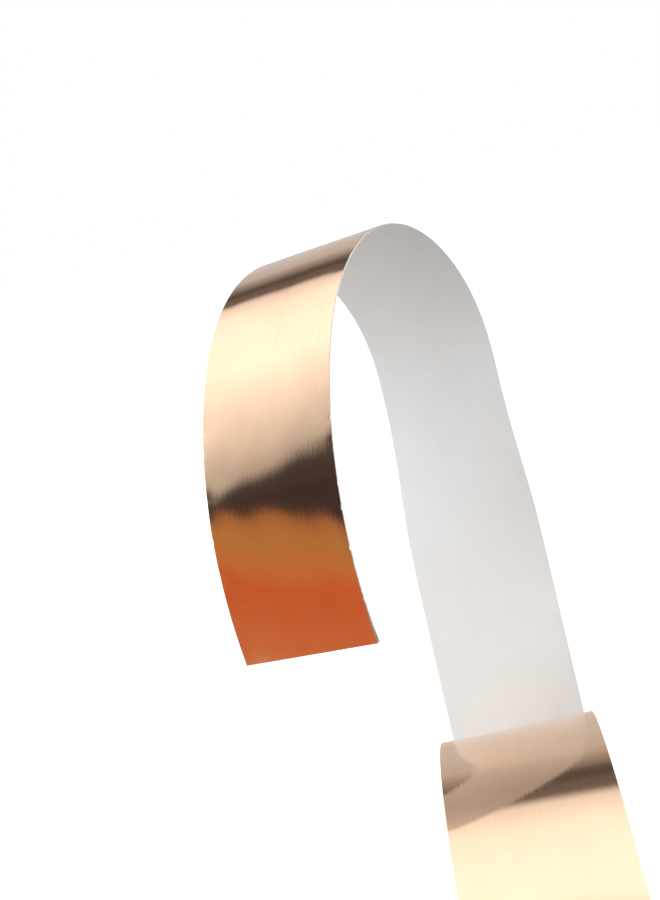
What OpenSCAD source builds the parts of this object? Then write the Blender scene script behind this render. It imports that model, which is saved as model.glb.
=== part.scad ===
// Roll of copper foil tape for stained glass work, held on its core.
// Origin: centre of the core's bore. +Y runs along the core's axis, +Z is up.

/* [Tape] */
// Width of the tape, 25.4 mm being the one inch size
tape_w = 25.4; // [12:0.2:30]
// Thickness of the copper foil
foil_t = 0.035; // [0.03:0.005:0.05]
// Thickness of the adhesive film
adhesive_t = 0.03; // [0.02:0.005:0.05]
// Thickness of the paper release liner
liner_t = 0.1; // [0.08:0.01:0.12]
// Turns of tape on the core, the outermost one included
turns = 36; // [20:1:60]

/* [Core] */
// Diameter of the bore through the core
bore_d = 76.2; // [60:0.2:80]
// Thickness of each of the three paperboard plies
ply_t = 1.03; // [0.8:0.01:1.2]
// Glue line between two plies
glue_t = 0.055; // [0.05:0.005:0.1]
// Width of the tab that sticks the first turn to the core
start_tab_w = 19; // [10:1:24]
// Angle of the core that the tab covers
start_tab_angle = 28; // [15:1:40]

/* [Free length] */
// Angle above the horizontal at which the tape leaves the roll
lift_angle = 75; // [60:1:85]
// Length from the roll to the start of the arch
rise_l = 106; // [100:1:110]
// Length over which the bend builds up to its tightest
bend_in_l = 10; // [8:1:14]
// Radius at the tightest place of the arch
crown_r = 22; // [20:1:26]
// Length from the tightest place to the shoulder
crown_l = 50; // [45:1:55]
// Radius at the shoulder
shoulder_r = 34; // [30:1:40]
// Length from the shoulder to the tail
shoulder_l = 31; // [25:1:35]
// Radius of the tail
tail_r = 68; // [60:1:80]
// Length of the tail, up to the cut end
tail_l = 40; // [30:1:42]
// Twist of the free length about its own line
twist = 27; // [0:1:30]
// Distance from the roll to the middle of the twist
twist_at = 84; // [70:1:90]
// Length on each side over which the twist fades out
twist_reach = 22; // [15:1:30]
// Length of the liner's loose tab at the cut end
tab_l = 15; // [10:2.5:20]

/* [Hidden] */

// Core and winding
bore_r = bore_d / 2;
middle_ply_r = bore_r + ply_t + glue_t;
outer_ply_r = middle_ply_r + ply_t + glue_t;
core_r = outer_ply_r + ply_t;
winding_gap = 0.15;
start_tab_t = 0.07;
start_tab_gap = 0.04;
tape_t = foil_t + adhesive_t + liner_t;
winding_r = core_r + winding_gap;
outer_turn_r = winding_r + (turns - 1) * tape_t;
turn_sides = 120;
circle_sides = 180;

// Where the wound tape ends and the free length lifts off
seam_angle = lift_angle - 90;
lift_gap = 0.15;
lift_r = outer_turn_r + 2 * tape_t + lift_gap;

// The free length, in short straight steps
step_l = 2.5;
free_l = rise_l + bend_in_l + crown_l + shoulder_l + tail_l;
steps = round(free_l / step_l);
crown_step = round((rise_l + bend_in_l + crown_l / 3) / step_l);
tab_step = steps - round(tab_l / step_l);
hinge_gap = 0.1;
tab_gap = 0.05;

// Thickness of each layer, measured from the tape's inner face
liner_layer = [0, liner_t];
adhesive_layer = [liner_t, liner_t + adhesive_t];
foil_layer = [liner_t + adhesive_t, tape_t];
tab_layer = [-tab_gap, liner_t - tab_gap];

copper = [0.78, 0.5, 0.32];
adhesive_tint = [0.9, 0.88, 0.8];
liner_white = [0.93, 0.92, 0.9];
kraft = [0.68, 0.57, 0.43];

// ---- Core ----

// A tube about the Y axis, centred on the origin
module tube_y(r_in, r_out, length) {
    rotate([90, 0, 0])
    difference() {
        cylinder(r = r_out, h = length, center = true, $fn = circle_sides);
        cylinder(r = r_in, h = length + 2, center = true, $fn = circle_sides);
    }
}

module core_inner_ply() {
    color(kraft) tube_y(bore_r, bore_r + ply_t, tape_w);
}

module core_middle_ply() {
    color(kraft) tube_y(middle_ply_r, middle_ply_r + ply_t, tape_w);
}

module core_outer_ply() {
    color(kraft) tube_y(outer_ply_r, core_r, tape_w);
}

// Thin strip of tape that holds the first turn to the core
module core_start_tab() {
    color(liner_white)
    rotate([90, 0, 0])
    rotate_extrude(angle = start_tab_angle, $fn = circle_sides)
    translate([core_r + start_tab_gap, -start_tab_w / 2])
    square([start_tab_t, start_tab_w]);
}

// ---- Winding ----

// A point of a winding that grows by one tape thickness a turn and ends at the seam
function winding_point(r, side) =
    let (angle = seam_angle - 360 + side * 360 / turn_sides)
    (r + tape_t * side / turn_sides) * [cos(angle), sin(angle)];

// One turn of a winding as a line of points, starting at radius r
function winding_turn(r) = [for (side = [0 : turn_sides]) winding_point(r, side)];

function backwards(points) = [for (i = [len(points) - 1 : -1 : 0]) points[i]];

// Stands an outline drawn in X and Z up along the Y axis
module across_width() {
    rotate([90, 0, 0])
    linear_extrude(height = tape_w, center = true)
    children();
}

// All turns under the outermost one, as one solid coil
module wound_tape() {
    color(copper)
    difference() {
        across_width() polygon(winding_turn(outer_turn_r));
        rotate([90, 0, 0])
        cylinder(r = winding_r, h = tape_w + 2, center = true, $fn = circle_sides);
    }
}

// One layer of the outermost turn
module outer_turn_layer(layer) {
    across_width()
    polygon(concat(
        winding_turn(outer_turn_r + layer[1]),
        backwards(winding_turn(outer_turn_r + layer[0]))
    ));
}

module outer_turn_liner() {
    color(liner_white) outer_turn_layer(liner_layer);
}

module outer_turn_adhesive() {
    color(adhesive_tint) outer_turn_layer(adhesive_layer);
}

module outer_turn_foil() {
    color(copper) outer_turn_layer(foil_layer);
}

// ---- Free length ----

// Rotates vector v about unit axis a
function turned(v, a, angle) =
    v * cos(angle) + cross(a, v) * sin(angle) + a * (a * v) * (1 - cos(angle));

// Bend in degrees per mm at distance s from the roll
function bend_rate(s) =
    lookup(s, [
        [rise_l, 0],
        [rise_l + bend_in_l, 1 / crown_r],
        [rise_l + bend_in_l + crown_l, 1 / shoulder_r],
        [rise_l + bend_in_l + crown_l + shoulder_l, 1 / tail_r]
    ]) * 180 / PI;

// Twist in degrees per mm at distance s from the roll
function twist_rate(s) =
    -twist / twist_reach * max(0, 1 - abs(s - twist_at) / twist_reach);

// A station is [place, direction, direction across the tape towards its -Y edge]
first_station = [
    lift_r * [sin(lift_angle), 0, -cos(lift_angle)],
    [cos(lift_angle), 0, sin(lift_angle)],
    [0, -1, 0]
];

// The station one step further, bent and twisted by the rates half way
function next_station(at, index) =
    let (
        s = (index + 0.5) * free_l / steps,
        spin = (twist_rate(s) * at[1] + bend_rate(s) * at[2]) * free_l / steps,
        angle = norm(spin),
        axis = angle > 0 ? spin / angle : [0, -1, 0]
    ) [
        at[0] + turned(at[1], axis, angle / 2) * free_l / steps,
        turned(at[1], axis, angle),
        turned(at[2], axis, angle)
    ];

stations = [
    for (index = 0, at = first_station; index <= steps;
         at = next_station(at, index), index = index + 1) at
];

// Four corners of one layer's section: both inner ones, then both outer ones
function section(at, layer, shift) =
    let (
        outward = cross(at[1], at[2]),
        place = at[0] + at[1] * shift,
        edge = at[2] * tape_w / 2
    ) [
        place + edge + outward * layer[0],
        place - edge + outward * layer[0],
        place - edge + outward * layer[1],
        place + edge + outward * layer[1]
    ];

// Triangles between two sections; faces that meet in two layers split the same way
function section_joins(i) =
    let (a = 4 * i, b = a + 4)
    [
        [a, a + 1, b], [a + 1, b + 1, b],
        [a + 1, a + 2, b + 2], [a + 1, b + 2, b + 1],
        [a + 2, a + 3, b + 3], [a + 2, b + 3, b + 2],
        [a + 3, a, b], [a + 3, b, b + 3]
    ];

// One layer of the free length from one station to another
module strip_layer(from, to, layer, gap) {
    last = to - from;
    points = [
        for (i = [0 : last])
        each section(stations[from + i], layer, i == 0 ? gap : 0)
    ];
    polyhedron(
        points,
        concat(
            [[3, 2, 1, 0]],
            [for (i = [0 : last - 1]) each section_joins(i)],
            [[4 * last, 4 * last + 1, 4 * last + 2, 4 * last + 3]]
        ),
        convexity = 6
    );
}

module rising_liner() {
    color(liner_white) strip_layer(0, crown_step, liner_layer, 0);
}

module rising_adhesive() {
    color(adhesive_tint) strip_layer(0, crown_step, adhesive_layer, 0);
}

module rising_foil() {
    color(copper) strip_layer(0, crown_step, foil_layer, 0);
}

module free_liner() {
    color(liner_white) strip_layer(crown_step, tab_step, liner_layer, hinge_gap);
}

module free_adhesive() {
    color(adhesive_tint) strip_layer(crown_step, steps, adhesive_layer, hinge_gap);
}

module free_foil() {
    color(copper) strip_layer(crown_step, steps, foil_layer, hinge_gap);
}

// Loose end of the liner, where it is picked up to peel it off
module liner_tab() {
    color(liner_white) strip_layer(tab_step, steps, tab_layer, hinge_gap);
}

core_inner_ply();
core_middle_ply();
core_outer_ply();
core_start_tab();
wound_tape();
outer_turn_liner();
outer_turn_adhesive();
outer_turn_foil();
rising_liner();
rising_adhesive();
rising_foil();
free_liner();
free_adhesive();
free_foil();
liner_tab();
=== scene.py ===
import math
import random

import bpy
import numpy as np
from mathutils import Matrix, Vector, noise


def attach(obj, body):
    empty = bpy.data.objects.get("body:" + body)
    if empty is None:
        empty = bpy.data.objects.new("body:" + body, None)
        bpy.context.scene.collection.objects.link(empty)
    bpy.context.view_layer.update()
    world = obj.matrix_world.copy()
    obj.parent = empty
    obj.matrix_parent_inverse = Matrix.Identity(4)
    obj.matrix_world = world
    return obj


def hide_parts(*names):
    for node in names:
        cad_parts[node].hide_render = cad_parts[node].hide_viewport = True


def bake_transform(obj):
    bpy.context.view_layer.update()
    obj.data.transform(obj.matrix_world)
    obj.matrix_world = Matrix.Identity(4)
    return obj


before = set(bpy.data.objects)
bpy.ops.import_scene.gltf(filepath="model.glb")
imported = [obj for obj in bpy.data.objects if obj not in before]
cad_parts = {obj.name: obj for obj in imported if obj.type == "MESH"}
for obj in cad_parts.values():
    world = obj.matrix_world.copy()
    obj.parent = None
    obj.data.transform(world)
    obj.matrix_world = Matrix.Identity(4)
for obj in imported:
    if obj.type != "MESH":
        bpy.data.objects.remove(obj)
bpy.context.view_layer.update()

MM = 0.001
AROUND = 2 * math.pi

# ---- The tape and the roll, as the CAD has them ----
TAPE_W = 25.4 * MM
FOIL_T = 0.035 * MM
ADHESIVE_T = 0.03 * MM
LINER_T = 0.1 * MM
TAPE_T = FOIL_T + ADHESIVE_T + LINER_T
TURNS = 36
BORE_R = 38.1 * MM
PLY_T = 1.03 * MM
GLUE_T = 0.055 * MM
CORE_R = BORE_R + 3 * PLY_T + 2 * GLUE_T
WINDING_R = CORE_R + 0.15 * MM
OUTER_TURN_R = WINDING_R + (TURNS - 1) * TAPE_T
ROLL_R = OUTER_TURN_R + 2 * TAPE_T
LIFT_ANGLE = math.radians(75)
SEAM_ANGLE = LIFT_ANGLE - math.pi / 2
LIFT_R = ROLL_R + 0.15 * MM

# Each layer's lowest and highest distance from the tape's inner face
LINER_LAYER = (0, LINER_T)
ADHESIVE_LAYER = (LINER_T, LINER_T + ADHESIVE_T)
FOIL_LAYER = (LINER_T + ADHESIVE_T, TAPE_T)

# ---- The free length: where it bends and twists, from the roll on ----
RISE_L = 106 * MM
BEND_IN_L = 10 * MM
CROWN_L = 50 * MM
SHOULDER_L = 31 * MM
TAIL_L = 40 * MM
CROWN_R = 22 * MM
SHOULDER_R = 34 * MM
TAIL_R = 68 * MM
TWIST = math.radians(27)
TWIST_AT = 84 * MM
TWIST_REACH = 22 * MM
FREE_L = RISE_L + BEND_IN_L + CROWN_L + SHOULDER_L + TAIL_L
WRAP_L = 12 * MM        # how far back the free length still hugs the roll
WRAP_GAP = 0.02 * MM    # its clearance there
WRAP_START = 0.1        # share of its thickness that it starts with, so that it shows no step

# The three sheets aren't cut quite level
FOIL_INSET = 0.13 * MM
ADHESIVE_INSET = 0.3 * MM
ADHESIVE_SHORT = 0.1 * MM

# The liner's loose tab at the cut end
TAB_L = 15 * MM
TAB_GAP = 0.05 * MM
TAB_LIFT = 0.35 * MM
TAB_CUT = 0.1 * MM

# ---- Mesh fineness ----
STEP = 0.4 * MM
COLUMNS = 36
SIDES = 180
BORE_ROWS = 24
STRIP_SHARP = math.radians(40)
BOARD_SHARP = math.radians(50)

# How far apart the pattern of a sheet's two faces is read, so that they differ
STRIP_UV_APART = 0.05
WINDING_UV_APART = 0.2


# ======== Shader helpers ========

def new_material(name):
    material = bpy.data.materials.new(name)
    material.use_nodes = True
    tree = material.node_tree
    return material, tree, tree.nodes["Principled BSDF"]


def plug(tree, socket, value):
    """Feeds a socket from another socket, or sets it to a number or a colour."""
    if isinstance(value, bpy.types.NodeSocket):
        tree.links.new(value, socket)
    elif isinstance(value, (int, float)):
        socket.default_value = value
    else:
        socket.default_value = (*value, 1)


def grey(value):
    return (value, value, value)


def ramp(tree, source, stops):
    """Colours by a value, from (value, colour) stops."""
    made = tree.nodes.new("ShaderNodeValToRGB")
    elements = made.color_ramp.elements
    while len(elements) < len(stops):
        elements.new(0.5)
    for element, (place, colour) in zip(elements, stops):
        element.position = place
        element.color = (*colour, 1)
    plug(tree, made.inputs["Fac"], source)
    return made.outputs["Color"]


def grey_ramp(tree, source, start, first, end, last):
    return ramp(tree, source, [(start, grey(first)), (end, grey(last))])


def grain(tree, place, scale, detail=3.0, rough=0.55):
    """Noise over a place, at one scale or at a scale for each axis."""
    if isinstance(scale, tuple):
        mapping = tree.nodes.new("ShaderNodeMapping")
        mapping.inputs["Scale"].default_value = scale
        plug(tree, mapping.inputs["Vector"], place)
        place, scale = mapping.outputs["Vector"], 1.0
    made = tree.nodes.new("ShaderNodeTexNoise")
    made.inputs["Scale"].default_value = scale
    made.inputs["Detail"].default_value = detail
    made.inputs["Roughness"].default_value = rough
    plug(tree, made.inputs["Vector"], place)
    return made.outputs["Fac"]


def mixed(tree, kind, factor, a, b):
    made = tree.nodes.new("ShaderNodeMix")
    made.data_type = "RGBA"
    made.blend_type = kind
    plug(tree, made.inputs[0], factor)
    plug(tree, made.inputs[6], a)
    plug(tree, made.inputs[7], b)
    return made.outputs[2]


def maths(tree, kind, a, b=0.0):
    made = tree.nodes.new("ShaderNodeMath")
    made.operation = kind
    plug(tree, made.inputs[0], a)
    plug(tree, made.inputs[1], b)
    return made.outputs[0]


def vector_maths(tree, kind, a, b=None):
    """A vector node's outputs, b being a socket, three numbers or nothing."""
    made = tree.nodes.new("ShaderNodeVectorMath")
    made.operation = kind
    plug(tree, made.inputs[0], a)
    if isinstance(b, bpy.types.NodeSocket):
        plug(tree, made.inputs[1], b)
    elif b is not None:
        made.inputs[1].default_value = b
    return made.outputs


def bumped(tree, shader, height, strength, distance, below=None):
    """Raises the shader's surface by a height, on top of an earlier bump if there is one."""
    made = tree.nodes.new("ShaderNodeBump")
    made.inputs["Strength"].default_value = strength
    made.inputs["Distance"].default_value = distance
    plug(tree, made.inputs["Height"], height)
    if below is not None:
        plug(tree, made.inputs["Normal"], below)
    plug(tree, shader.inputs["Normal"], made.outputs["Normal"])
    return made.outputs["Normal"]


# ======== Materials ========

def copper_foil(name):
    """Rolled copper: fine lines along the tape, a faint haze and a few darker specks."""
    material, tree, shader = new_material(name)
    uv = tree.nodes.new("ShaderNodeUVMap").outputs["UV"]
    lines = grain(tree, uv, (9, 4200, 1), 4.0, 0.65)
    streaks = grain(tree, uv, (700, 2600, 1), 3.0, 0.6)
    haze = grain(tree, uv, (60, 90, 1))
    specks = grain(tree, uv, (1500, 1500, 1), 2.0, 0.7)

    colour = ramp(tree, haze, [(0.3, (0.91, 0.62, 0.43)), (0.7, (0.95, 0.67, 0.47))])
    colour = mixed(tree, "MULTIPLY", 0.5, colour, grey_ramp(tree, lines, 0.3, 0.88, 0.7, 1.0))
    dark_specks = ramp(tree, specks, [(0.2, (0.45, 0.33, 0.27)), (0.27, grey(1.0))])
    colour = mixed(tree, "MULTIPLY", 0.8, colour, dark_specks)
    plug(tree, shader.inputs["Base Color"], colour)
    plug(tree, shader.inputs["Roughness"], grey_ramp(tree, lines, 0.3, 0.05, 0.75, 0.10))
    shader.inputs["Metallic"].default_value = 1.0

    fine = bumped(tree, shader, lines, 0.2, 0.004 * MM)
    bumped(tree, shader, streaks, 0.14, 0.02 * MM, fine)
    return material


def release_paper(name):
    """Smooth calendered paper with a release coat: a soft sheen, faint fibres and mottling."""
    material, tree, shader = new_material(name)
    uv = tree.nodes.new("ShaderNodeUVMap").outputs["UV"]
    fibres = grain(tree, uv, (900, 2600, 1), 5.0, 0.7)
    mottle = grain(tree, uv, (120, 160, 1))

    colour = ramp(tree, mottle, [(0.3, (0.835, 0.83, 0.82)), (0.7, (0.86, 0.855, 0.85))])
    colour = mixed(tree, "MULTIPLY", 0.5, colour, grey_ramp(tree, fibres, 0.3, 0.94, 0.7, 1.0))
    plug(tree, shader.inputs["Base Color"], colour)
    plug(tree, shader.inputs["Roughness"], grey_ramp(tree, mottle, 0.3, 0.42, 0.7, 0.52))
    shader.inputs["Coat Weight"].default_value = 0.15
    shader.inputs["Coat Roughness"].default_value = 0.35
    bumped(tree, shader, fibres, 0.12, 0.02 * MM)
    return material


def adhesive_film(name):
    """Pressure sensitive film over the copper: glossy, amber, uneven where it was coated."""
    material, tree, shader = new_material(name)
    uv = tree.nodes.new("ShaderNodeUVMap").outputs["UV"]
    streaks = grain(tree, uv, (60, 500, 1))

    colour = ramp(tree, streaks, [(0.3, (0.80, 0.58, 0.42)), (0.7, (0.86, 0.66, 0.50))])
    plug(tree, shader.inputs["Base Color"], colour)
    plug(tree, shader.inputs["Roughness"], grey_ramp(tree, streaks, 0.3, 0.22, 0.7, 0.34))
    shader.inputs["Metallic"].default_value = 0.55
    shader.inputs["Coat Weight"].default_value = 0.6
    shader.inputs["Coat Roughness"].default_value = 0.12
    bumped(tree, shader, streaks, 0.3, 0.02 * MM)
    return material


def kraft_board(name, tone):
    """Grey-brown paperboard with fibres, flecks and faint mottling."""
    material, tree, shader = new_material(name)
    place = tree.nodes.new("ShaderNodeTexCoord").outputs["Object"]
    fibres = grain(tree, place, (900, 2400, 900), 6.0, 0.7)
    mottle = grain(tree, place, 160.0, 4.0)
    flecks = grain(tree, place, (1800, 900, 1800), 2.0, 0.6)

    dark = tuple(0.82 * c for c in tone)
    light = tuple(min(1.0, 1.18 * c) for c in tone)
    colour = ramp(tree, mottle, [(0.3, dark), (0.7, light)])
    colour = mixed(tree, "MULTIPLY", 0.7, colour, grey_ramp(tree, fibres, 0.3, 0.72, 0.7, 1.0))
    dark_flecks = ramp(tree, flecks, [(0.24, (0.45, 0.38, 0.3)), (0.3, grey(1.0))])
    colour = mixed(tree, "MULTIPLY", 0.8, colour, dark_flecks)
    plug(tree, shader.inputs["Base Color"], colour)
    plug(tree, shader.inputs["Roughness"], grey_ramp(tree, fibres, 0.3, 0.78, 0.7, 0.95))
    bumped(tree, shader, fibres, 0.5, 0.08 * MM)
    return material


def rings(tree, place, per_metre):
    """Noise that varies quickly outwards from the roll's axis and slowly round it."""
    flat = tree.nodes.new("ShaderNodeMapping")
    flat.inputs["Scale"].default_value = (1, 0, 1)
    plug(tree, flat.inputs["Vector"], place)
    radius = vector_maths(tree, "LENGTH", flat.outputs["Vector"])["Value"]
    way_out = vector_maths(tree, "NORMALIZE", flat.outputs["Vector"])["Vector"]
    stretched = tree.nodes.new("ShaderNodeCombineXYZ")
    plug(tree, stretched.inputs["X"], maths(tree, "MULTIPLY", radius, per_metre))
    spot = vector_maths(tree, "ADD", stretched.outputs["Vector"], way_out)["Vector"]
    return grain(tree, spot, 1.0, 2.0)


def wound_edges(name):
    """The liner's cut edges as they lie in the roll: rings of paper, some tinted by the foil."""
    material, tree, shader = new_material(name)
    place = tree.nodes.new("ShaderNodeTexCoord").outputs["Object"]
    broad = rings(tree, place, 500)
    fine = rings(tree, place, 2600)

    tinted, dull, white = (0.50, 0.33, 0.25), (0.78, 0.70, 0.64), (0.87, 0.85, 0.83)
    colour = ramp(tree, broad, [(0.32, tinted), (0.46, dull), (0.6, white)])
    dark_rings = ramp(tree, fine, [(0.35, (0.52, 0.43, 0.38)), (0.6, grey(1.0))])
    colour = mixed(tree, "MULTIPLY", 0.75, colour, dark_rings)
    plug(tree, shader.inputs["Base Color"], colour)
    plug(tree, shader.inputs["Roughness"], grey_ramp(tree, fine, 0.3, 0.45, 0.7, 0.7))
    bumped(tree, shader, fine, 0.6, 0.06 * MM)
    return material


COPPER = copper_foil("copper_foil")
WOUND_EDGES = wound_edges("wound_edges")
LINER = release_paper("release_liner")
ADHESIVE = adhesive_film("adhesive_film")
CORE_LINER_BOARD = kraft_board("core_liner_board", (0.62, 0.47, 0.32))
CORE_GREY_BOARD = kraft_board("core_grey_board", (0.50, 0.43, 0.35))
START_TAB_KRAFT = kraft_board("start_tab_kraft", (0.7, 0.64, 0.52))


# ======== Meshes ========

def swept(name, sections, uv_rows, material, sharp, closed=False):
    """Skins a run of sections, each the same loop of points; an open run gets end caps.

    The loops of a closed run go round the other way, so its faces are turned over.
    """
    sections = np.asarray(sections, float)
    rows, count = sections.shape[:2]
    ring = np.arange(count)
    following = (ring + 1) % count
    faces = []
    for row in range(rows if closed else rows - 1):
        low = row * count
        high = (row + 1) % rows * count
        second, last = low + following, high + ring
        if closed:
            second, last = last, second
        faces += np.c_[low + ring, second, high + following, last].tolist()
    if not closed:
        faces.append(ring[::-1].tolist())
        faces.append(((rows - 1) * count + ring).tolist())

    mesh = bpy.data.meshes.new(name)
    mesh.from_pydata(sections.reshape(-1, 3).tolist(), [], faces)
    corners = np.zeros(len(mesh.loops), np.int32)
    mesh.loops.foreach_get("vertex_index", corners)
    uvs = np.asarray(uv_rows, np.float32).reshape(-1, 2)
    mesh.uv_layers.new(name="UVMap").data.foreach_set("uv", uvs[corners].ravel())
    mesh.materials.append(material)
    mesh.polygons.foreach_set("use_smooth", [True] * len(mesh.polygons))
    mesh.validate()
    mesh.set_sharp_from_angle(angle=sharp)
    made = bpy.data.objects.new(name, mesh)
    bpy.context.collection.objects.link(made)
    return made


# ======== The tape's line ========
# A station is (distance from the roll, place, direction, direction across the tape)

def bend_at(s):
    """Bend per metre at a distance from the roll."""
    stops = np.cumsum([RISE_L, BEND_IN_L, CROWN_L, SHOULDER_L])
    return np.interp(s, stops, [0, 1 / CROWN_R, 1 / SHOULDER_R, 1 / TAIL_R])


def twist_at(s):
    """Twist per metre at a distance from the roll."""
    return -TWIST / TWIST_REACH * max(0.0, 1 - abs(s - TWIST_AT) / TWIST_REACH)


def free_stations():
    """Stations every STEP along the free length, bent and twisted by the rates half way."""
    count = round(FREE_L / STEP)
    step = FREE_L / count
    place = Vector((math.sin(LIFT_ANGLE), 0, -math.cos(LIFT_ANGLE))) * LIFT_R
    ahead = Vector((math.cos(LIFT_ANGLE), 0, math.sin(LIFT_ANGLE)))
    across = Vector((0, -1, 0))
    stations = [(0.0, place, ahead, across)]
    for index in range(count):
        middle = (index + 0.5) * step
        spin = (ahead * twist_at(middle) + across * bend_at(middle)) * step
        half = Matrix.Identity(3)
        if spin.length > 0:
            half = Matrix.Rotation(spin.length / 2, 3, spin)
        full = half @ half
        place = place + half @ ahead * step
        ahead, across = full @ ahead, full @ across
        stations.append(((index + 1) * step, place, ahead, across))
    return stations


def wrap_stations():
    """The last stretch along the roll, just clear of its outer turn so that it can go round."""
    count = round(WRAP_L / STEP)
    lowest = ROLL_R + WRAP_GAP
    stations = []
    for index in range(count):
        share = index / count
        angle = SEAM_ANGLE - (1 - share) * WRAP_L / LIFT_R
        ease = share * share * (3 - 2 * share)
        radius = lowest + (LIFT_R - lowest) * ease
        place = Vector((math.cos(angle), 0, math.sin(angle))) * radius
        ahead = Vector((-math.sin(angle), 0, math.cos(angle)))
        stations.append(((share - 1) * WRAP_L, place, ahead, Vector((0, -1, 0))))
    return stations


STATIONS = wrap_stations() + free_stations()
LINE_S = np.array([station[0] for station in STATIONS])
LINE_P, LINE_T, LINE_W = (np.array([tuple(station[k]) for station in STATIONS]) for k in (1, 2, 3))
LINE_N = np.cross(LINE_T, LINE_W)

# Places across the tape from -1 to 1, closer together towards its two edges
EVEN_ACROSS = np.linspace(-1, 1, COLUMNS + 1)
ACROSS = 0.5 * np.sin(EVEN_ACROSS * math.pi / 2) + 0.5 * EVEN_ACROSS


# ======== Signs of handling ========

def handling(s, v):
    """How far the handled tape waves off its true line, v running from -1 to 1 across it."""
    free = min(1.0, max(0.0, s / (20 * MM)))
    slow = noise.noise((s / (17 * MM), v * 1.1, 3.7))
    quick = noise.noise((s / (6 * MM), v * 2.6, 9.1))
    edge = abs(v) ** 4 * noise.noise((s / (4 * MM), v * 3.0, 21.0))
    return free * (0.05 * slow + 0.014 * quick + 0.035 * edge) * MM


def edge_nicks(seed, count, first, last):
    """Small dents in one cut edge: (place along the tape, depth, half length)."""
    draw = random.Random(seed)
    return [
        (
            draw.uniform(first, last),
            draw.uniform(0.1, 1) ** 3 * 0.16 * MM,
            draw.uniform(0.2, 0.6) * MM,
        )
        for _ in range(count)
    ]


# A few nicks all along each edge, and more of them near the cut end
NICKS = {
    1: edge_nicks(5, 46, 20 * MM, FREE_L) + edge_nicks(6, 22, 190 * MM, 222 * MM),
    -1: edge_nicks(7, 46, 20 * MM, FREE_L) + edge_nicks(8, 22, 185 * MM, 218 * MM),
}
NICK_DIP = 0.15         # share of a nick's depth by which the foil dips beside it
NICK_DIP_POWER = 30     # the higher it is, the closer the dip keeps to the edge


def nick_depth(s, side):
    depth = 0.0
    for place, deepest, half in NICKS[side]:
        away = abs(s - place) / half
        if away < 1:
            depth = max(depth, deepest * (1 - away * away))
    return depth


# ======== The free length ========

def strip_section(i, layer, inset, nicked, lift):
    """A layer's section at one station, along its inner face and back along its outer one."""
    s = LINE_S[i]
    thin = np.interp(s, (-WRAP_L, 0), (WRAP_START, 1))
    nicks = {side: nick_depth(s, side) if nicked else 0.0 for side in (1, -1)}
    inner, outer, inner_uv, outer_uv = [], [], [], []
    for v in ACROSS:
        nick = nicks[1 if v > 0 else -1]
        half = TAPE_W / 2 - inset - nick
        wave = handling(s, v) - NICK_DIP * nick * abs(v) ** NICK_DIP_POWER
        if lift:
            wave += lift(s, v)
        base = LINE_P[i] + LINE_W[i] * (v * half)
        inner.append(base + LINE_N[i] * (layer[0] * thin + wave))
        outer.append(base + LINE_N[i] * (layer[1] * thin + wave))
        inner_uv.append((s, v * half + STRIP_UV_APART))
        outer_uv.append((s, v * half))
    return inner + outer[::-1], inner_uv + outer_uv[::-1]


def strip(name, start, end, layer, inset, material, nicked=False, lift=None):
    """One layer of the tape between two places on its line, as a thin closed slab."""
    tiny = 1e-9
    picked = np.nonzero((LINE_S >= start - tiny) & (LINE_S <= end + tiny))[0]
    sections, uv_rows = zip(*(strip_section(i, layer, inset, nicked, lift) for i in picked))
    return swept(name, sections, uv_rows, material, STRIP_SHARP)


def across_arch(piece, slot, *nodes):
    """The tape is one sheet over the arch's hinge: the piece stays where it stands, on no body,
    and the CAD's two stretches that it stands in for are hidden.
    """
    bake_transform(piece)
    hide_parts(*nodes)


def picked_end(s, v):
    """How far the liner's tab lies off the foil, further towards its end and its -Y edge."""
    share = max(0.0, (s - (FREE_L - TAB_L)) / TAB_L)
    return -TAB_GAP - TAB_LIFT * share ** 3 * (0.65 + 0.35 * v)


def build_free_length():
    tab_start = FREE_L - TAB_L
    foil = strip("foil_strip", -WRAP_L, FREE_L, FOIL_LAYER, FOIL_INSET, COPPER, nicked=True)
    across_arch(foil, "copper_foil", "rising_foil", "free_foil")
    adhesive_end = FREE_L - ADHESIVE_SHORT
    adhesive = strip(
        "adhesive_strip", -WRAP_L, adhesive_end, ADHESIVE_LAYER, ADHESIVE_INSET, ADHESIVE)
    across_arch(adhesive, "adhesive", "rising_adhesive", "free_adhesive")
    liner = strip("liner_strip", -WRAP_L, tab_start, LINER_LAYER, 0, LINER)
    across_arch(liner, "release_liner", "rising_liner", "free_liner")

    tab = strip(
        "liner_pull_tab", tab_start + TAB_CUT, FREE_L, LINER_LAYER, 0, LINER, lift=picked_end)
    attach(tab, "liner_end")
    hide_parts("liner_tab")


# ======== The roll ========

def wind_inset(turn, angle, side):
    """How far the turns stand in from a flat side: no two turns are wound quite level."""
    broad = 0.13 * noise.noise((turn * 0.19, 5.0 * side, 1.3))
    close = 0.07 * noise.noise((turn * 0.53, 4.0 * side, 6.1))
    single = 0.04 * noise.noise((turn * 1.7, side, 8.8))
    slow = 0.02 * math.sin(angle + turn * 0.3 + side)
    return (0.17 + broad + close + single + slow) * MM


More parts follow.
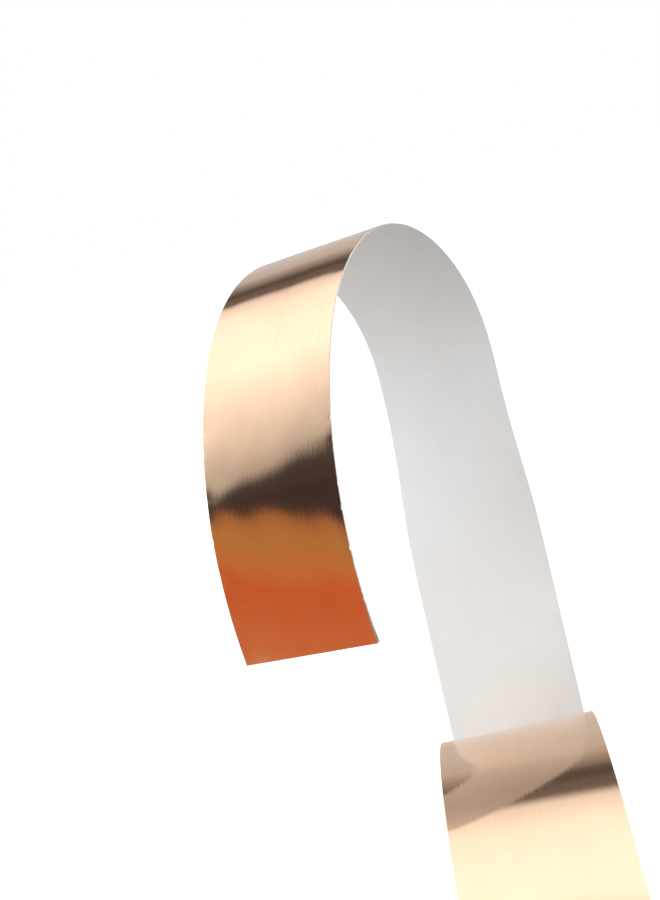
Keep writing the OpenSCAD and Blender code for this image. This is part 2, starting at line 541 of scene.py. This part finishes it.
def wound_layer(name, first_turn, turns, layer, proud, material):
    """One layer of a winding as a true spiral that ends at the seam."""
    low, high = layer
    steps = round(turns * SIDES)
    sections, uv_rows = [], []
    for index in range(steps + 1):
        turn = first_turn + index * turns / steps
        angle = SEAM_ANGLE + (turn - first_turn - turns) * AROUND
        out = Vector((math.cos(angle), 0, math.sin(angle)))
        radius = WINDING_R + TAPE_T * turn
        length = AROUND * WINDING_R * turn
        stand = proud * (1 + 1.5 * noise.noise((turn * 0.41, 2.0, 15.0)))
        back, front = (
            side * (TAPE_W / 2 - max(0, wind_inset(turn, angle, side) - stand)) for side in (1, -1)
        )
        corners = [
            out * (radius + height) + Vector((0, y, 0))
            for height, y in ((low, back), (low, front), (high, front), (high, back))
        ]
        sections.append([tuple(corner) for corner in corners])
        inner_uv = [(length, corner.y + WINDING_UV_APART) for corner in corners[:2]]
        outer_uv = [(length, corner.y) for corner in corners[2:]]
        uv_rows.append(inner_uv + outer_uv)
    return swept(name, sections, uv_rows, material, STRIP_SHARP)


def ply_profile(inner, outer, half, soft):
    """A ply's section as (radius, y) points, softened at its four corners.

    Known fault: only the bore wall has rows across it. Where the sections slant, the outer wall
    is straight from side to side, so it cuts through the bore.
    """
    bore = [(inner, y) for y in np.linspace(-half, half, BORE_ROWS + 2)[1:-1]]
    return [
        (inner + soft, -half),
        (inner, -half + soft),
        *bore,
        (inner, half - soft),
        (inner + soft, half),
        (outer - soft, half),
        (outer, half - soft),
        (outer, -half + soft),
        (outer - soft, -half),
    ]


def core_ply(name, inner, material, seam=False):
    """A paperboard tube with rough cut ends; one with a seam slants its sections along it."""
    half = TAPE_W / 2 - 0.01 * MM
    soft = 0.18 * MM
    seam_slant = 0.55
    seam_depth = 0.22 * MM
    end_rough = 0.03 * MM
    gap = 0.35 * MM / inner
    even = [i * AROUND / SIDES for i in range(SIDES)]
    clear = [angle for angle in even if 3 * gap < angle < AROUND - 3 * gap]
    angles = sorted(clear + [k * gap % AROUND for k in range(-2, 3)])
    profile = ply_profile(inner, inner + PLY_T, half, soft)
    sections, uv_rows = [], []
    for angle in angles:
        on_seam = seam and min(angle, AROUND - angle) < gap / 2
        section, uvs = [], []
        for radius, y in profile:
            turned = angle + (y / half * seam_slant if seam else 0)
            cos, sin = math.cos(turned), math.sin(turned)
            uvs.append((turned * radius, y))
            if on_seam and radius < inner + 1.5 * soft:
                radius += seam_depth
            if abs(y) > half - 1.2 * soft:
                y -= np.sign(y) * end_rough * noise.noise((cos * 60, sin * 60, y * 900))
            section.append((cos * radius, y, sin * radius))
        sections.append(section)
        uv_rows.append(uvs)
    return swept(name, sections, uv_rows, material, BOARD_SHARP, closed=True)


def on_roll(piece, slot, *nodes):
    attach(piece, "roll")
    if nodes:
        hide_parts(*nodes)


def build_core():
    next_ply = PLY_T + GLUE_T
    bore = core_ply("core_bore_ply", BORE_R, CORE_LINER_BOARD, seam=True)
    on_roll(bore, "core_board", "core_inner_ply")
    body = core_ply("core_body_ply", BORE_R + next_ply, CORE_GREY_BOARD)
    on_roll(body, "core_board", "core_middle_ply")
    face = core_ply("core_face_ply", BORE_R + 2 * next_ply, CORE_GREY_BOARD)
    on_roll(face, "core_board", "core_outer_ply")
    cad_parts["core_start_tab"].material_slots[0].material = START_TAB_KRAFT


def build_winding():
    inner_turns = TURNS - 1
    pressed_foil = (LINER_T + 0.01 * MM, TAPE_T)
    liner = wound_layer("coil_liner", 0, inner_turns, LINER_LAYER, 0, WOUND_EDGES)
    on_roll(liner, "wound_tape")
    foil = wound_layer("coil_foil", 0, inner_turns, pressed_foil, 0.04 * MM, COPPER)
    on_roll(foil, "wound_tape", "wound_tape")

    paper = wound_layer("outer_turn_paper", inner_turns, 1, LINER_LAYER, 0.02 * MM, LINER)
    on_roll(paper, "release_liner", "outer_turn_liner")
    film = wound_layer("outer_turn_film", inner_turns, 1, ADHESIVE_LAYER, -0.15 * MM, ADHESIVE)
    on_roll(film, "adhesive", "outer_turn_adhesive")
    copper = wound_layer("outer_turn_copper", inner_turns, 1, FOIL_LAYER, 0, COPPER)
    on_roll(copper, "copper_foil", "outer_turn_foil")


# ======== Camera and floor ========

# At the photograph's viewing angle, in degrees, and tilted as it was held
CAMERA_AZIMUTH = -84.97
CAMERA_ELEVATION = 11.49
CAMERA_TILT = -14.16
CAMERA_AT = Vector((-0.21138, -0.00270, 0.14668))
CAMERA_LENS = 60
CAMERA_SENSOR = 36
CAMERA_SHIFT = -1 / 36  # in heights of the picture
FLOOR_HALF = 3.0
FLOOR_GAP = 0.3 * MM


def place_camera():
    azimuth = math.radians(CAMERA_AZIMUTH)
    elevation = math.radians(CAMERA_ELEVATION)
    ahead = Vector((
        -math.sin(azimuth) * math.cos(elevation),
        math.cos(azimuth) * math.cos(elevation),
        -math.sin(elevation),
    ))
    level = ahead.cross(Vector((0, 0, 1))).normalized()
    above = level.cross(ahead)
    facing = Matrix((level, above, -ahead)).transposed()
    tilted = facing @ Matrix.Rotation(math.radians(CAMERA_TILT), 3, "Z")
    data = bpy.data.cameras.new("camera")
    data.lens = CAMERA_LENS
    data.sensor_width = CAMERA_SENSOR
    data.shift_y = CAMERA_SHIFT
    data.clip_start = 0.01
    data.clip_end = 20
    camera = bpy.data.objects.new("camera", data)
    camera.matrix_world = Matrix.Translation(CAMERA_AT) @ tilted.to_4x4()
    bpy.context.collection.objects.link(camera)
    bpy.context.scene.camera = camera


def place_floor():
    """A white floor that shows shadows but neither mirrors in the foil nor lights the paper."""
    far = FLOOR_HALF
    level = -ROLL_R - FLOOR_GAP
    corners = [(-far, -far, level), (far, -far, level), (far, far, level), (-far, far, level)]
    mesh = bpy.data.meshes.new("floor")
    mesh.from_pydata(corners, [], [(0, 1, 2, 3)])
    material, _, shader = new_material("floor_white")
    shader.inputs["Base Color"].default_value = (0.9, 0.9, 0.9, 1)
    shader.inputs["Roughness"].default_value = 0.9
    shader.inputs["Emission Color"].default_value = (1, 1, 1, 1)
    shader.inputs["Emission Strength"].default_value = 0.15
    mesh.materials.append(material)
    floor = bpy.data.objects.new("floor", mesh)
    bpy.context.collection.objects.link(floor)
    floor.visible_glossy = False
    floor.visible_diffuse = False


# ======== Light ========

# What the foil mirrors, by the angle in degrees round the arch's own axis: long soft boxes
# overhead, with dark gaps between them, and the pale room below
SOFT_BOXES = (
    (-180, 0.62),
    (-120, 0.80),
    (-60, 0.85),
    (-10, 0.62),
    (18, 0.50),
    (26, 0.06),
    (38.5, 0.06),
    (42, 0.52),
    (50, 0.78),
    (60, 1.05),
    (70, 1.35),
    (80, 1.55),
    (96, 1.46),
    (108, 1.32),
    (117, 0.95),
    (121, 0.17),
    (126, 0.15),
    (128.5, 0.09),
    (130.5, 0.12),
    (134, 0.28),
    (137, 0.36),
    (144, 0.58),
    (160, 0.64),
    (180, 0.62),
)
# The warm light that comes off whatever is close in front of the tape, below GAP_ANGLE
WARM_SIDE = (
    (-40, (0.75, 0.62, 0.52)),
    (-20, (0.62, 0.22, 0.10)),
    (0, (0.60, 0.14, 0.05)),
    (8, (0.58, 0.22, 0.075)),
    (19, (0.48, 0.25, 0.085)),
    (24, (0.42, 0.19, 0.08)),
    (27, (0.05, 0.04, 0.045)),
)
GAP_ANGLE = 33
FOIL_AXIS = Vector((-0.4384, -0.8911, 0.1175))
FOIL_LEAN = -0.569      # how far the foil's mirror directions lean along that axis
LEAN_LIMIT = 0.07
BOX_SLANT = 92          # degrees by which a band's edges slant for a lean of one
WARM_SLANT = -150
WARM_REACH = (0.09, 0.2)
RIPPLE_SCALE = 9.0
RIPPLE = 4.0            # degrees by which the bands' edges waver

# What lights the paper: an even room, brighter towards one side and from above
EVEN_LIGHT = 0.975
EVEN_SLOPE = (0.55, -0.06, 0.62)
EVEN_LEAST = 0.1

# A weak lamp beside the tape
KEY_AT = Vector((-0.06, 0.11, 0.05))
KEY_TARGET = Vector((0.06, 0.0, 0.05))
KEY_SIZE = 0.10
KEY_POWER = 0.09


def gap_tint(value):
    """The dark gaps between the boxes are warmer than the boxes."""
    share = min(1.0, value / 0.5)
    return (value, value * (0.82 + 0.18 * share), value * (0.8 + 0.2 * share))


def along(tree, direction, way):
    return vector_maths(tree, "DOT_PRODUCT", direction, way)["Value"]


def banded(tree, angle, slant, lean, stops):
    """Colours by an angle in degrees, in bands that slant with the lean."""
    slanted = maths(tree, "SUBTRACT", angle, maths(tree, "MULTIPLY", lean, slant))
    share = maths(tree, "ADD", maths(tree, "DIVIDE", slanted, 360), 0.5)
    return ramp(tree, share, [((degrees + 180) / 360, colour) for degrees, colour in stops])


def foil_light(tree, direction):
    """What the foil mirrors: the boxes, and the warm side where the tape faces it."""
    axis = FOIL_AXIS.normalized()
    ahead = axis.cross(Vector((0, 0, 1))).normalized()
    above = ahead.cross(axis)
    turned = maths(
        tree, "ARCTAN2", along(tree, direction, above), along(tree, direction, ahead))
    angle = maths(tree, "MULTIPLY", turned, math.degrees(1))
    off_lean = maths(tree, "SUBTRACT", along(tree, direction, axis), FOIL_LEAN)

    # The lean slants the bands fully up to 54 degrees, and not at all from 90 on
    lean = maths(tree, "MAXIMUM", maths(tree, "MINIMUM", off_lean, LEAN_LIMIT), -LEAN_LIMIT)
    low_down = grey_ramp(tree, maths(tree, "DIVIDE", angle, 90), 0.6, 1.0, 1.0, 0.0)
    lean = maths(tree, "MULTIPLY", lean, low_down)
    wave = maths(tree, "SUBTRACT", grain(tree, direction, RIPPLE_SCALE), 0.5)
    rippled = maths(tree, "ADD", angle, maths(tree, "MULTIPLY", wave, RIPPLE))

    tinted = [(degrees, gap_tint(value)) for degrees, value in SOFT_BOXES]
    boxes = banded(tree, rippled, BOX_SLANT, lean, tinted)
    warm = banded(tree, rippled, WARM_SLANT, lean, WARM_SIDE)
    near, far = WARM_REACH
    beside = grey_ramp(tree, maths(tree, "ABSOLUTE", off_lean), near, 1.0, far, 0.0)
    below = maths(tree, "LESS_THAN", angle, GAP_ANGLE)
    return mixed(tree, "MIX", maths(tree, "MULTIPLY", below, beside), boxes, warm)


def paper_light(tree, direction):
    slope = along(tree, direction, EVEN_SLOPE)
    return maths(tree, "MAXIMUM", maths(tree, "ADD", slope, EVEN_LIGHT), EVEN_LEAST)


def light_room():
    """White to the eye, soft and even for the paper, and banded for the mirror of the foil."""
    world = bpy.data.worlds.new("studio")
    bpy.context.scene.world = world
    world.use_nodes = True
    tree = world.node_tree
    direction = tree.nodes.new("ShaderNodeTexCoord").outputs["Generated"]
    ray = tree.nodes.new("ShaderNodeLightPath").outputs
    even = paper_light(tree, direction)
    mirrored = foil_light(tree, direction)
    unseen = mixed(tree, "MIX", ray["Is Glossy Ray"], even, mirrored)
    seen = mixed(tree, "MIX", ray["Is Camera Ray"], unseen, grey(1.0))
    plug(tree, tree.nodes["Background"].inputs["Color"], seen)


def place_key_lamp():
    data = bpy.data.lights.new("key", "AREA")
    data.size = KEY_SIZE
    data.energy = KEY_POWER
    lamp = bpy.data.objects.new("key", data)
    lamp.location = KEY_AT
    lamp.rotation_mode = "QUATERNION"
    lamp.rotation_quaternion = (KEY_TARGET - KEY_AT).to_track_quat("-Z", "Y")
    lamp.visible_glossy = False
    lamp.visible_camera = False
    bpy.context.collection.objects.link(lamp)


def main():
    bpy.context.scene.view_settings.view_transform = "Standard"
    place_camera()
    build_free_length()
    build_core()
    build_winding()
    place_floor()
    light_room()
    place_key_lamp()


main()
